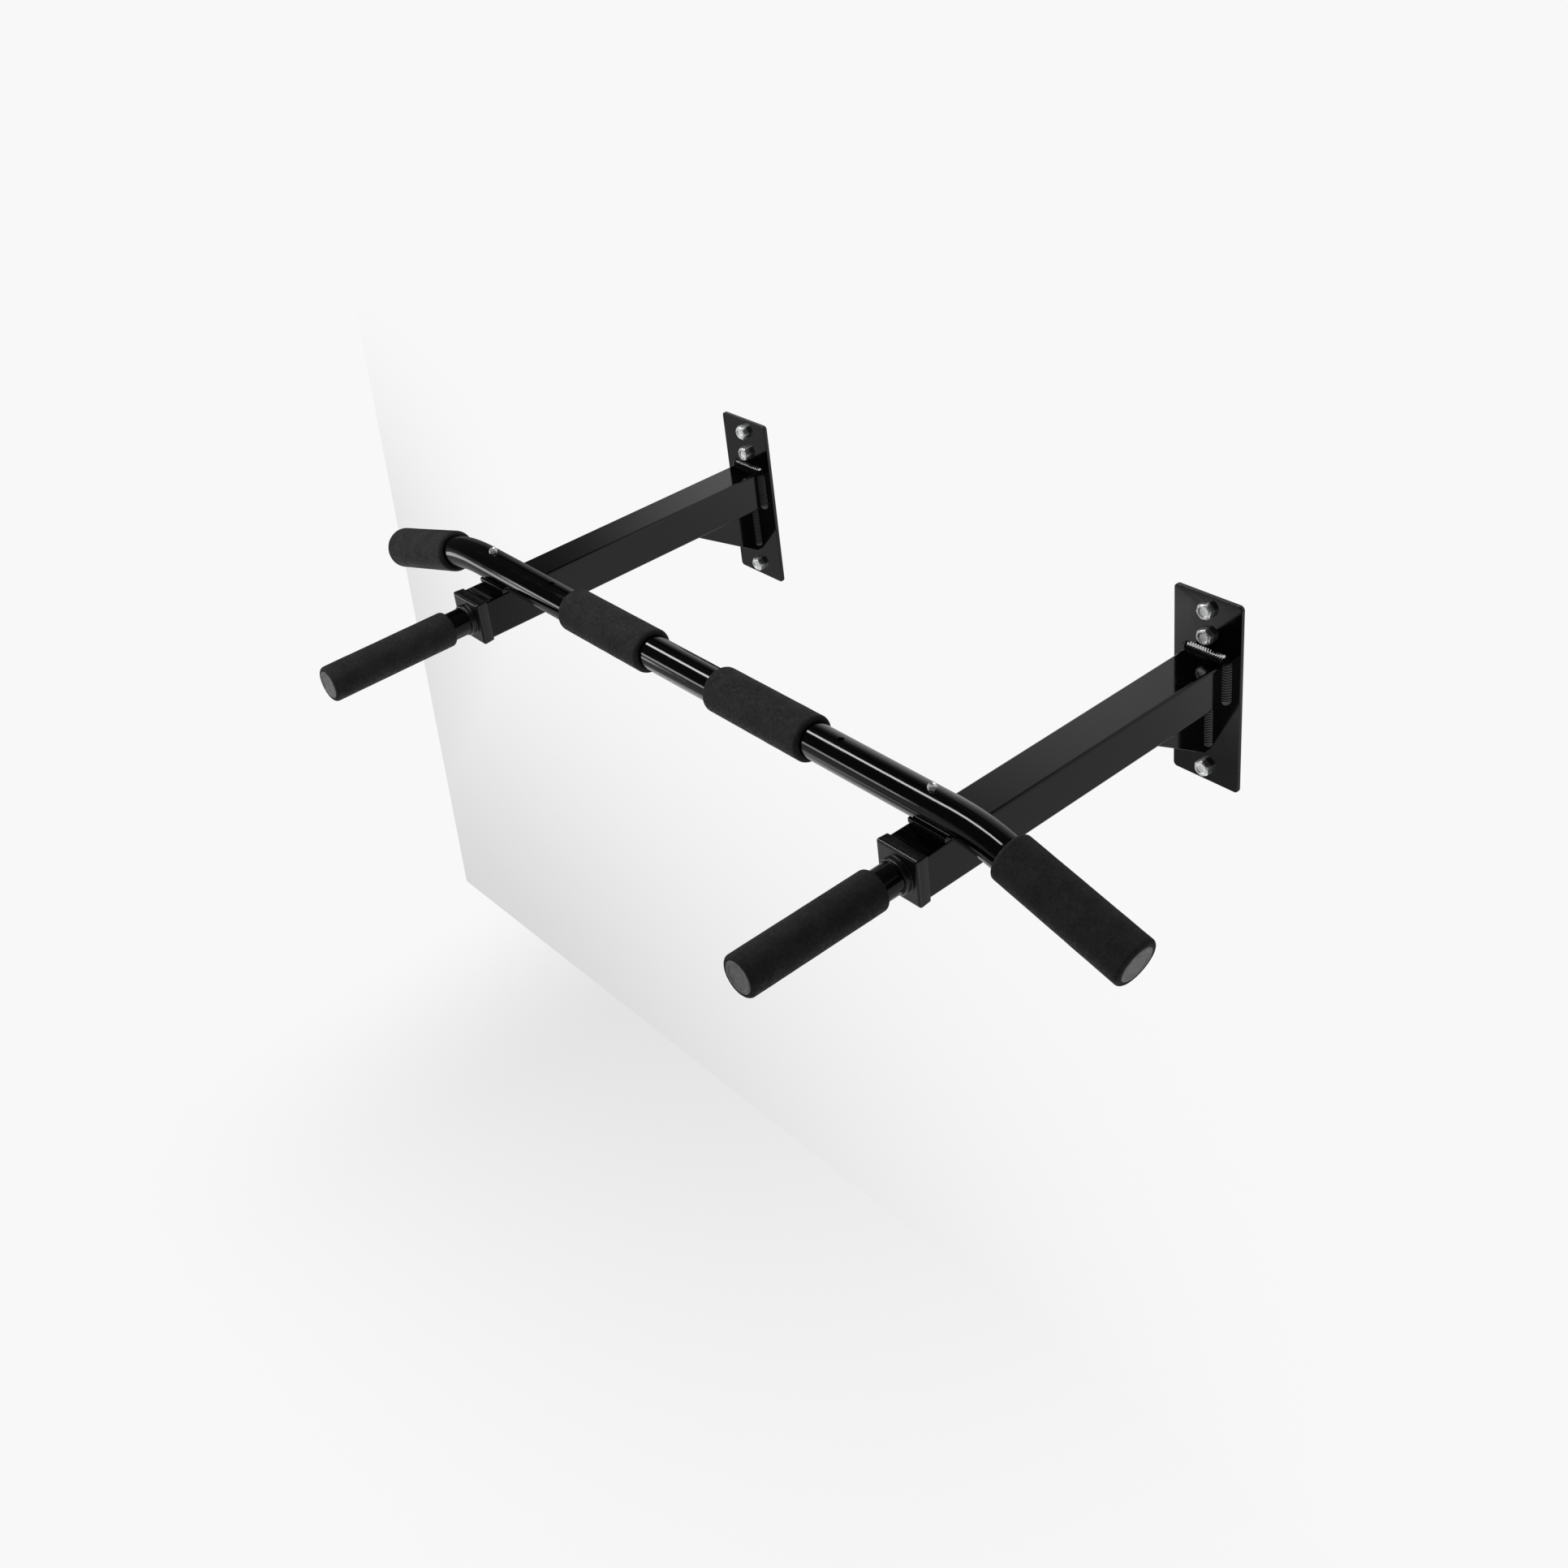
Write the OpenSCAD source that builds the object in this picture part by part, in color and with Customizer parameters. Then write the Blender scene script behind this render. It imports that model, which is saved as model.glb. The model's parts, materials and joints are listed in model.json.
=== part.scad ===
// Wall-mounted pull-up bar: two welded wall brackets carry a cross bar with bent ends, and a handle
// points forward from each bracket. Millimetres. The origin is the centre of the outer four wall
// screws, on the wall's surface: +X runs right along the bar, +Y into the wall and +Z up. The plates
// lie on the wall at y = 0, and everything that is gripped stands in front of it, at negative y.

/* [Wall plates] */
// Width of each wall plate
plate_w = 70; // [60:1:90]
// Height of each wall plate
plate_h = 188; // [184:1:220]
// Thickness of each wall plate
plate_t = 4; // [3:0.5:6]
// Radius of a plate's corners
plate_corner_r = 4; // [1:0.5:8]
// Distance between the centre lines of the two plates
plate_spacing = 610; // [560:1:640]
// Distance from a plate's end to its nearest screw
screw_margin = 14; // [12:1:18]
// Distance between the two upper screws of a plate
upper_screw_gap = 25; // [22:1:28]

/* [Arms] */
// Outside width and height of the square arm tube
arm_w = 41; // [38:1:42]
// Wall thickness of the arm tube
arm_wall = 2; // [1.5:0.25:2]
// Outside corner radius of the arm tube
arm_corner_r = 2.5; // [2.5:0.25:4]
// Height of an arm's axis above the centre of its plate
arm_height = 16; // [10:1:16]
// Distance from the wall to the front face of an arm's end cap
arm_reach = 372; // [365:1:400]
// Thickness of the gusset below an arm
gusset_t = 5; // [4:0.5:8]
// Height of the gusset, down the plate
gusset_h = 58; // [50:1:62]
// Length of the gusset, along the arm
gusset_l = 90; // [70:1:120]
// Height of the gusset's blunt ends
gusset_nose = 4; // [2:0.5:8]
// Leg of the weld bead around an arm
arm_weld_r = 6; // [4:0.5:8]
// How far that bead runs down past the arm's underside
arm_weld_run = 2.5; // [0:0.5:4]
// Leg of the weld beads beside the gusset
gusset_weld_r = 5; // [3:0.5:8]

/* [Arm end caps] */
// Depth of the cap's rim, in front of the arm tube
cap_depth = 12; // [8:1:16]
// How far the rim's front edge stands out past the arm's faces
cap_lip_front = 2; // [1.5:0.25:4]
// How far the rim's back edge stands out past the arm's faces
cap_lip_back = 1.2; // [0.5:0.1:1.5]
// Length of the cap behind its front face, with the shank that fills the arm tube
cap_l = 70; // [60:1:90]
// Radius of the round boss around the handle
cap_boss_r = 16; // [16:0.5:19]
// Height of the boss
cap_boss_h = 6; // [4:0.5:10]
// Radius of the boss's rounded edge
cap_boss_edge_r = 1.75; // [1:0.25:1.75]

/* [Pull-up bar] */
// Outside diameter of the bar
bar_d = 32; // [30:0.5:34]
// Wall thickness of the bar
bar_wall = 2; // [1.5:0.25:3]
// Distance from the wall to the bar's axis
bar_reach = 330; // [325:1:335]
// Distance from an arm's centre line to the start of the bend
bend_offset = 21; // [20:1:30]
// Radius of each bend, to the bar's axis
bend_r = 187; // [100:1:200]
// How far the bar's ends fall for each bend_run across
bend_fall = 7; // [5:1:12]
// Run over which the bar's ends fall by bend_fall
bend_run = 24; // [20:1:30]
// Distance from the end of a bend to the end grip
end_grip_gap = 3; // [2:1:10]
// Distance between the two spare bolt holes, for studs set closer together
spare_hole_spacing = 406; // [380:1:420]

/* [Saddle pads] */
// Depth of a saddle pad, from front to back
pad_depth = 20; // [14:1:24]
// Thickness of a pad at its edges
pad_t = 5.2; // [4.5:0.1:6]
// Thickness of a pad under the bar
pad_floor = 4.5; // [3:0.1:4.5]

/* [Foam grips] */
// Thickness of the foam around the bar
bar_foam_t = 5; // [4.5:0.25:8]
// Thickness of the foam around the handles
handle_foam_t = 4; // [4:0.25:8]
// Radius of a foam grip's rounded rims
foam_rim_r = 3.5; // [2:0.5:3.5]
// Length of the two grips beside the bar's centre
inner_grip_l = 121; // [100:1:126]
// Distance from the bar's centre to each inner grip
inner_grip_start = 47.5; // [30:0.5:50]
// Length of the grips on the bar's bent ends
end_grip_l = 124; // [100:1:140]
// Length of the grips on the handles
handle_grip_l = 135; // [110:1:150]
// Distance from an end cap's front face to the handle grip
handle_grip_gap = 24; // [15:1:35]

/* [Handles] */
// Outside diameter of the handle tubes
handle_d = 28; // [25:0.5:30]
// Wall thickness of the handle tubes
handle_wall = 2; // [1.5:0.25:3]
// Thickness of an end plug's head
plug_head_t = 2; // [1.5:0.25:4]
// Length of an end plug's shank
plug_shank_l = 16; // [10:1:25]

/* [Fasteners] */
// Diameter of the wall lag screws
lag_d = 9.5; // [8:0.5:10]
// Diameter of a lag screw's plain neck, where it passes the plate
lag_neck_d = 8.5; // [6:0.5:8.5]
// Length of the lag screws under their heads
lag_l = 60; // [50:1:80]
// Width of a lag screw's head across its flats
lag_af = 14.3; // [12:0.1:15]
// Height of a lag screw's head
lag_head_h = 6.4; // [4:0.1:7]
// Diameter of the bolts that hold the bar to the arms
bolt_d = 5; // [5:0.5:6]
// Length of the bar's bolts under their heads
bolt_l = 85; // [84:1:95]
// Width of a bar bolt's head and nut across the flats
bolt_af = 8; // [8:0.5:11]
// Height of a bar bolt's head
bolt_head_h = 3.5; // [3:0.25:5]
// Height of a bar bolt's locking nut
nut_h = 5; // [4:0.25:7]
// Outside diameter of the washers above the locking nuts
bolt_washer_d = 10; // [9:0.5:16]
// Thickness of those washers
washer_t = 1; // [0.8:0.1:2]

/* [Hidden] */
$fn = 96;

// A cutter reaches past the faces that it opens by this much
past = 1;
// Sliding gap, on the diameter, between a tube and what it fits
slip = 0.1;
// Sliding gap, on the width, between a cap's shank and the inside of its arm
shank_slip = 0.2;
// Play of a hole over its screw or bolt, on the diameter
hole_play = 0.6;
// Smallest corner radius of the square sections
small_corner_r = 0.5;

paint_black = "#151517";
foam_black = "#2b2b2b";
plastic_black = "#1f1f21";
plug_grey = "#5f5f5f";
zinc = "#c9ccd0";

arm_x = plate_spacing / 2;
arm_top = arm_height + arm_w / 2;
arm_bottom = arm_height - arm_w / 2;
arm_inner_w = arm_w - 2 * arm_wall;
bar_z = arm_top + pad_floor + bar_d / 2;
bend_angle = atan2(bend_fall, bend_run);
straight_half = arm_x + bend_offset;
screw_rise = plate_h / 2 - screw_margin;
screw_heights = [screw_rise, screw_rise - upper_screw_gap, -screw_rise];
handle_grip_start = arm_reach + handle_grip_gap;
handle_end = handle_grip_start + handle_grip_l;
bar_end_l = end_grip_gap + end_grip_l;
bolt_hole_d = bolt_d + hole_play;

// ---- Shared shapes ----

// Puts a right-hand piece, modelled in place, on the right
module right() {
    children();
}

// Puts a right-hand piece on the left, as its mirror image
module left() {
    mirror([1, 0, 0]) children();
}

// Rectangle with rounded corners, centred
module rounded_rect(w, h, r) {
    square([w - 2 * r, h], center = true);
    square([w, h - 2 * r], center = true);
    for (x = [-1, 1], y = [-1, 1])
        translate([x * (w / 2 - r), y * (h / 2 - r)]) circle(r);
}

// Puts its children where a handle leaves the right arm, with +Z pointing forward, away from the wall
module along_handle(distance) {
    translate([arm_x, -distance, arm_height]) rotate([90, 0, 0]) children();
}

// Puts its children on the right end of the bar, past the bend, with +Z pointing outward along the bar
module along_bar_end(distance) {
    translate([straight_half, -bar_reach, bar_z - bend_r])
        rotate([0, bend_angle, 0])
            translate([distance, 0, bend_r]) rotate([0, 90, 0]) children();
}

// Vertical hole for a bar bolt, through the whole bracket
module bolt_hole(x) {
    translate([x, -bar_reach, arm_bottom - past])
        cylinder(d = bolt_hole_d, h = bar_z + bar_d / 2 - arm_bottom + 2 * past);
}

// Foam sleeve that stands on z = 0, with rounded rims
module foam_sleeve(length, tube_d, foam_t) {
    bore_r = (tube_d + slip) / 2;
    outer_r = tube_d / 2 + foam_t;
    rim_x = outer_r - foam_rim_r;
    rotate_extrude() {
        translate([bore_r, 0]) square([rim_x - bore_r, length]);
        translate([bore_r, foam_rim_r]) square([outer_r - bore_r, length - 2 * foam_rim_r]);
        for (y = [foam_rim_r, length - foam_rim_r]) translate([rim_x, y]) circle(foam_rim_r);
    }
}

// Plug whose head closes a tube's end: the shank runs down from z = 0 and the head stands on it
module end_plug(tube_d, tube_wall) {
    cylinder(d = tube_d, h = plug_head_t);
    translate([0, 0, -plug_shank_l]) cylinder(d = tube_d - 2 * tube_wall - slip, h = plug_shank_l);
}

// Hexagonal head that stands on z = 0, with a chamfered rim and a dished top
module hex_head(af, h) {
    rim_r = 0.475 * af;
    dish_depth = h / 6;
    difference() {
        intersection() {
            cylinder(d = af / cos(30), h = h, $fn = 6);
            cylinder(r1 = rim_r + h / tan(30), r2 = rim_r, h = h);
        }
        translate([0, 0, h - dish_depth]) cylinder(d1 = af / 2, d2 = af / 1.5, h = dish_depth + 0.01);
    }
}

// Puts its children at every wall screw, on the plate's front face, with +Z pointing away from the wall
module at_wall_screws() {
    for (x = [-arm_x, arm_x], z = screw_heights)
        translate([x, -plate_t, z]) rotate([90, 0, 0]) children();
}

// Puts its children at both bar bolts, at a height
module at_bar_bolts(z) {
    for (x = [-arm_x, arm_x]) translate([x, -bar_reach, z]) children();
}

// Quarter-round section of a weld bead, its root corner at the origin
module bead_section(r) {
    intersection() {
        circle(r);
        square(r);
    }
}

// ---- Wall brackets ----

module wall_plate() {
    color(paint_black) difference() {
        translate([arm_x, 0, 0]) rotate([90, 0, 0])
            linear_extrude(plate_t) rounded_rect(plate_w, plate_h, plate_corner_r);
        for (z = screw_heights) translate([arm_x, past, z]) rotate([90, 0, 0])
            cylinder(d = lag_d + hole_play, h = plate_t + 2 * past);
    }
}

module arm_tube() {
    inner_corner_r = max(arm_corner_r - arm_wall, small_corner_r);
    color(paint_black) difference() {
        along_handle(plate_t) linear_extrude(arm_reach - cap_depth - plate_t) difference() {
            rounded_rect(arm_w, arm_w, arm_corner_r);
            rounded_rect(arm_inner_w, arm_inner_w, inner_corner_r);
        }
        bolt_hole(arm_x);
    }
}

// Triangular web with blunt ends, on the arm's centre plane
module gusset() {
    low = arm_bottom - gusset_h;
    color(paint_black) translate([arm_x - gusset_t / 2, 0, 0]) rotate([90, 0, 90]) linear_extrude(gusset_t)
        polygon([
            [-plate_t, arm_bottom], [-plate_t, low], [-plate_t - gusset_nose, low],
            [-plate_t - gusset_l, arm_bottom - gusset_nose], [-plate_t - gusset_l, arm_bottom]
        ]);
}

// Bead along the joint of arm and plate, over the arm's top and down both of its sides
module arm_weld() {
    flat_half = arm_w / 2 - arm_corner_r;
    color(paint_black) along_handle(plate_t) {
        translate([-flat_half, arm_w / 2, 0]) rotate([0, 90, 0]) mirror([1, 0, 0])
            linear_extrude(2 * flat_half) bead_section(arm_weld_r);
        for (side = [0, 1]) mirror([side, 0, 0]) {
            translate([arm_w / 2, flat_half, 0]) rotate([90, 0, 0])
                linear_extrude(flat_half + arm_w / 2 + arm_weld_run) bead_section(arm_weld_r);
            translate([flat_half, flat_half, 0]) rotate_extrude(angle = 90)
                translate([arm_corner_r, 0]) bead_section(arm_weld_r);
        }
    }
}

// Beads on both sides of the gusset, down the plate and along the arm
module gusset_weld() {
    color(paint_black) for (side = [-1, 1])
        translate([arm_x + side * gusset_t / 2, -plate_t, arm_bottom]) mirror([side < 0 ? 1 : 0, 0, 0]) {
            mirror([0, 1, 0]) mirror([0, 0, 1])
                linear_extrude(gusset_h - gusset_nose) bead_section(gusset_weld_r);
            rotate([90, 0, 0]) mirror([0, 1, 0])
                linear_extrude(gusset_l - gusset_nose) bead_section(gusset_weld_r);
        }
}

// ---- Arm ends and handles ----

// Rim of the cap, a little wider at its front face than at its back
module cap_rim() {
    front = arm_w / 2 + cap_lip_front;
    back = arm_w / 2 + cap_lip_back;
    outline = [[-front, 0], [front, 0], [back, cap_depth], [-back, cap_depth]];
    intersection() {
        linear_extrude(2 * front, center = true) polygon(outline);
        rotate([0, 90, 0]) linear_extrude(2 * front, center = true) polygon(outline);
    }
}

// Boss around the handle, with a rounded front edge
module cap_boss() {
    straight_r = cap_boss_r - cap_boss_edge_r;
    rotate([90, 0, 0]) rotate_extrude() {
        square([straight_r, cap_boss_h]);
        square([cap_boss_r, cap_boss_h - cap_boss_edge_r]);
        translate([straight_r, cap_boss_h - cap_boss_edge_r]) circle(cap_boss_edge_r);
    }
}

// Plastic insert that closes the arm and carries the handle tube
module arm_end_cap() {
    shank_w = arm_inner_w - shank_slip;
    color(plastic_black) difference() {
        translate([arm_x, -arm_reach, arm_height]) {
            cap_rim();
            cap_boss();
            translate([0, cap_depth, 0]) rotate([-90, 0, 0])
                linear_extrude(cap_l - cap_depth) rounded_rect(shank_w, shank_w, small_corner_r);
        }
        along_handle(arm_reach - cap_l - past)
            cylinder(d = handle_d + slip, h = cap_l + cap_boss_h + 2 * past);
        bolt_hole(arm_x);
    }
}

module handle_tube() {
    tail = arm_reach - cap_l;
    color(paint_black) difference() {
        along_handle(tail) cylinder(d = handle_d, h = handle_end - plug_head_t - tail);
        along_handle(tail - past) cylinder(d = handle_d - 2 * handle_wall, h = handle_end - tail);
        bolt_hole(arm_x);
    }
}

module handle_grip() {
    color(foam_black) along_handle(handle_grip_start) foam_sleeve(handle_grip_l, handle_d, handle_foam_t);
}

module handle_plug() {
    color(plug_grey) along_handle(handle_end - plug_head_t) end_plug(handle_d, handle_wall);
}

// ---- Pull-up bar ----

module bar_section() {
    difference() {
        circle(d = bar_d);
        circle(d = bar_d - 2 * bar_wall);
    }
}

// Part of a ring that turns the bar from level to its end's slope, cut between the two planes across it
module bend() {
    ring_r = bend_r + bar_d;
    translate([straight_half, -bar_reach, bar_z - bend_r]) rotate([0, -90, -90]) intersection() {
        rotate_extrude() translate([bend_r, 0]) bar_section();
        linear_extrude(2 * bar_d, center = true)
            polygon([[0, 0], [2 * ring_r, 0], 2 * ring_r * [1, bend_fall / bend_run]]);
    }
}

// One tube: a straight middle, and a sloping end past a bend on either side
module pull_up_bar() {
    color(paint_black) {
        difference() {
            translate([-straight_half, -bar_reach, bar_z]) rotate([0, 90, 0])
                linear_extrude(2 * straight_half) bar_section();
            for (side = [-1, 1]) {
                bolt_hole(side * arm_x);
                bolt_hole(side * spare_hole_spacing / 2);
            }
        }
        for (side = [0, 1]) mirror([side, 0, 0]) {
            bend();
            along_bar_end(0) linear_extrude(bar_end_l - plug_head_t) bar_section();
        }
    }
}

// Pad with a shallow groove that the bar lies in
module saddle_pad() {
    color(plastic_black) difference() {
        translate([arm_x - arm_w / 2, -bar_reach - pad_depth / 2, arm_top]) cube([arm_w, pad_depth, pad_t]);
        translate([arm_x - arm_w / 2 - past, -bar_reach, bar_z]) rotate([0, 90, 0])
            cylinder(d = bar_d + slip, h = arm_w + 2 * past);
        bolt_hole(arm_x);
    }
}

module inner_grip() {
    color(foam_black) translate([inner_grip_start, -bar_reach, bar_z]) rotate([0, 90, 0])
        foam_sleeve(inner_grip_l, bar_d, bar_foam_t);
}

module end_grip() {
    color(foam_black) along_bar_end(end_grip_gap) foam_sleeve(end_grip_l, bar_d, bar_foam_t);
}

module bar_plug() {
    color(plug_grey) along_bar_end(bar_end_l - plug_head_t) end_plug(bar_d, bar_wall);
}

// ---- Fasteners ----

// Lag screws, driven through the plates: the neck ends and the thread starts at the wall's surface
module lag_screws() {
    tip_l = lag_d;
    tip_d = 1;
    color(zinc) at_wall_screws() {
        hex_head(lag_af, lag_head_h);
        translate([0, 0, -plate_t]) cylinder(d = lag_neck_d, h = plate_t);
        translate([0, 0, tip_l - lag_l]) cylinder(d = lag_d, h = lag_l - tip_l - plate_t);
        translate([0, 0, -lag_l]) cylinder(d1 = tip_d, d2 = lag_d, h = tip_l);
    }
}

// Bolts down through bar, pad, arm, cap and handle tube
module bar_bolts() {
    color(zinc) at_bar_bolts(bar_z + bar_d / 2) {
        hex_head(bolt_af, bolt_head_h);
        translate([0, 0, -bolt_l]) cylinder(d = bolt_d, h = bolt_l);
    }
}

module bar_washers() {
    color(zinc) at_bar_bolts(arm_bottom - washer_t) difference() {
        cylinder(d = bolt_washer_d, h = washer_t);
        translate([0, 0, -past]) cylinder(d = bolt_hole_d, h = washer_t + 2 * past);
    }
}

// Locking nuts, chamfered end down
module bar_nuts() {
    color(zinc) at_bar_bolts(arm_bottom - washer_t) mirror([0, 0, 1]) difference() {
        hex_head(bolt_af, nut_h);
        translate([0, 0, -past]) cylinder(d = bolt_d + slip, h = nut_h + 2 * past);
    }
}

left() wall_plate();  // wall_plate_left
right() wall_plate();  // wall_plate_right
left() arm_tube();  // arm_tube_left
right() arm_tube();  // arm_tube_right
left() gusset();  // gusset_left
right() gusset();  // gusset_right
left() arm_weld();  // arm_weld_left
right() arm_weld();  // arm_weld_right
left() gusset_weld();  // gusset_weld_left
right() gusset_weld();  // gusset_weld_right
left() arm_end_cap();  // arm_end_cap_left
right() arm_end_cap();  // arm_end_cap_right
left() saddle_pad();  // saddle_pad_left
right() saddle_pad();  // saddle_pad_right
left() handle_tube();  // handle_tube_left
right() handle_tube();  // handle_tube_right
left() handle_grip();  // handle_grip_left
right() handle_grip();  // handle_grip_right
left() handle_plug();  // handle_plug_left
right() handle_plug();  // handle_plug_right
pull_up_bar();
left() inner_grip();  // inner_grip_left
right() inner_grip();  // inner_grip_right
left() end_grip();  // end_grip_left
right() end_grip();  // end_grip_right
left() bar_plug();  // bar_plug_left
right() bar_plug();  // bar_plug_right
lag_screws();
bar_bolts();
bar_washers();
bar_nuts();
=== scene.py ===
import json
import math

import bmesh
import bpy
from mathutils import Matrix, Vector, noise


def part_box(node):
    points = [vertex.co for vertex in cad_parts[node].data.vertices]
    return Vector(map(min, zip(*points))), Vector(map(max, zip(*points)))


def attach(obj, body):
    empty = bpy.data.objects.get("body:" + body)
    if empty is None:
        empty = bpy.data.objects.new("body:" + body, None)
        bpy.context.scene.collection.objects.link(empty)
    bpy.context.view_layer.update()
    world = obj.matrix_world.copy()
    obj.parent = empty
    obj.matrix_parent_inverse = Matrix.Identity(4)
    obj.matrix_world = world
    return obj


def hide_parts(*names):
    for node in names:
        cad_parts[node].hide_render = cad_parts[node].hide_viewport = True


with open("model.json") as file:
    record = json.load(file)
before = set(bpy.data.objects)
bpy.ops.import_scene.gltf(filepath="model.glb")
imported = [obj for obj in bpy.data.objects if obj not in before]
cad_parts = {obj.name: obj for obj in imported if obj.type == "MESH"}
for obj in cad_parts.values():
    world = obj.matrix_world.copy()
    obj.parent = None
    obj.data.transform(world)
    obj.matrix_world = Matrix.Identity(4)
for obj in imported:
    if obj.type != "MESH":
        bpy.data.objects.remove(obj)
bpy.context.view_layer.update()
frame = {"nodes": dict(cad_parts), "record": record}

# Metres in a millimetre: the shapes below are written in millimetres
MM = 0.001
# Gap between a bore and what fills it, in millimetres
BORE_GAP = 0.05
SIDES = {"left": -1, "right": 1}
SLOTS = {row["node"]: row["material_slot"] for row in frame["record"]["subparts"]}


# ---- Camera ----

# Where the camera stands, how it is turned, and its lens
CAMERA_PLACE = Vector((1.1409, -1.0946, 0.8800))
CAMERA_YAW = math.radians(54.46)
CAMERA_PITCH = math.radians(-30.50)
CAMERA_ROLL = math.radians(-7.93)
CAMERA_LENS = 42.05
CAMERA_SENSOR = 36
CAMERA_SHIFT = (0.0342, -0.0859)
CAMERA_SEES_TO = 50


def make_camera():
    """Yaw turns the camera left of +Y, pitch tips it and roll turns it about its view."""
    forward = Vector((
        -math.sin(CAMERA_YAW) * math.cos(CAMERA_PITCH),
        math.cos(CAMERA_YAW) * math.cos(CAMERA_PITCH),
        math.sin(CAMERA_PITCH),
    ))
    level_right = Vector((math.cos(CAMERA_YAW), math.sin(CAMERA_YAW), 0))
    level_up = level_right.cross(forward)
    right = math.cos(CAMERA_ROLL) * level_right + math.sin(CAMERA_ROLL) * level_up
    up = math.cos(CAMERA_ROLL) * level_up - math.sin(CAMERA_ROLL) * level_right
    turn = Matrix((right, up, -forward)).transposed()
    data = bpy.data.cameras.new("camera")
    data.lens = CAMERA_LENS
    data.sensor_width = CAMERA_SENSOR
    data.shift_x, data.shift_y = CAMERA_SHIFT
    data.clip_end = CAMERA_SEES_TO
    camera = bpy.data.objects.new("camera", data)
    camera.matrix_world = Matrix.Translation(CAMERA_PLACE) @ turn.to_4x4()
    bpy.context.scene.collection.objects.link(camera)
    bpy.context.scene.camera = camera


# ---- Node helpers ----

class Shading:
    """A material's or world's node tree, with the few nodes that every look below is made of."""

    def __init__(self, tree):
        self.tree = tree

    def add(self, kind, **settings):
        node = self.tree.nodes.new(kind)
        for name, value in settings.items():
            setattr(node, name, value)
        return node

    def link(self, source, target):
        self.tree.links.new(source, target)

    def place(self, axis=None):
        """The object's own coordinates in metres, or one of their axes."""
        vector = self.add("ShaderNodeTexCoord").outputs["Object"]
        if axis is None:
            return vector
        split = self.add("ShaderNodeSeparateXYZ")
        self.link(vector, split.inputs[0])
        return split.outputs[axis]

    def noise(self, scale, detail=3.0, roughness=0.5, stretch=None):
        """Noise with that many features per metre, stretched along the axes where stretch is below 1."""
        texture = self.add("ShaderNodeTexNoise")
        texture.inputs["Scale"].default_value = scale
        texture.inputs["Detail"].default_value = detail
        texture.inputs["Roughness"].default_value = roughness
        vector = self.place()
        if stretch:
            mapping = self.add("ShaderNodeMapping")
            mapping.inputs["Scale"].default_value = stretch
            self.link(vector, mapping.inputs["Vector"])
            vector = mapping.outputs["Vector"]
        self.link(vector, texture.inputs["Vector"])
        return texture.outputs["Fac"]

    def cells(self, scale):
        """Distance to the nearest cell centre, with that many cells per metre."""
        texture = self.add("ShaderNodeTexVoronoi")
        texture.inputs["Scale"].default_value = scale
        self.link(self.place(), texture.inputs["Vector"])
        return texture.outputs["Distance"]

    def spread(self, value, low, high, start=0.3, end=0.7):
        """Maps start..end smoothly to low..high."""
        ramp = self.add("ShaderNodeMapRange", interpolation_type="SMOOTHSTEP")
        for name, number in (("From Min", start), ("From Max", end), ("To Min", low), ("To Max", high)):
            ramp.inputs[name].default_value = number
        self.link(value, ramp.inputs["Value"])
        return ramp.outputs["Result"]

    def maths(self, operation, first, second):
        node = self.add("ShaderNodeMath", operation=operation)
        for socket, value in zip(node.inputs, (first, second)):
            if isinstance(value, (int, float)):
                socket.default_value = value
            else:
                self.link(value, socket)
        return node.outputs[0]

    def colour(self, amount, first, second):
        """first where amount is 0, second where it is 1."""
        mix = self.add("ShaderNodeMix", data_type="RGBA")
        mix.inputs["A"].default_value = (*first, 1)
        mix.inputs["B"].default_value = (*second, 1)
        self.link(amount, mix.inputs["Factor"])
        return mix.outputs["Result"]

    def bump(self, shader, height, distance, strength, before=None):
        """Roughens the shader's surface by a height map, distance in metres."""
        node = self.add("ShaderNodeBump")
        node.inputs["Distance"].default_value = distance
        node.inputs["Strength"].default_value = strength
        self.link(height, node.inputs["Height"])
        if before:
            self.link(before, node.inputs["Normal"])
        self.link(node.outputs["Normal"], shader.inputs["Normal"])
        return node.outputs["Normal"]


def new_material(name):
    """A material, its shading and its surface shader."""
    material = bpy.data.materials.new(name)
    material.use_nodes = True
    return material, Shading(material.node_tree), material.node_tree.nodes["Principled BSDF"]


# ---- Materials ----

def gloss_black_paint():
    """Smooth black enamel: faint orange peel, patches of haze and a few dull scuffs."""
    material, look, shader = new_material("gloss_black_paint")
    haze = look.spread(look.noise(28, 5, 0.6), 0, 1)
    tone = look.colour(haze, (0.0008, 0.0008, 0.0009), (0.0018, 0.0018, 0.002))
    look.link(tone, shader.inputs["Base Color"])
    scuffs = look.spread(look.noise(160, 6, 0.7, (1, 0.25, 1)), 0, 0.16, 0.62, 0.78)
    dullness = look.maths("ADD", look.spread(look.noise(60, 4), 0.06, 0.11), scuffs)
    look.link(dullness, shader.inputs["Roughness"])
    peel = look.bump(shader, look.noise(220, 2), 0.00004, 0.15)
    look.bump(shader, look.noise(1100, 2), 0.000008, 0.5, peel)
    shader.inputs["Specular IOR Level"].default_value = 0.45
    return material


def black_plastic():
    """Moulded plastic with a low shine and a fine grain."""
    material, look, shader = new_material("black_plastic")
    patches = look.spread(look.noise(90, 4), 0, 1)
    tone = look.colour(patches, (0.004, 0.004, 0.0043), (0.008, 0.008, 0.0085))
    look.link(tone, shader.inputs["Base Color"])
    look.link(look.spread(look.noise(120, 3, 0.6), 0.27, 0.33), shader.inputs["Roughness"])
    look.bump(shader, look.noise(260, 2), 0.00003, 0.1)
    shader.inputs["Specular IOR Level"].default_value = 0.55
    return material


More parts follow.
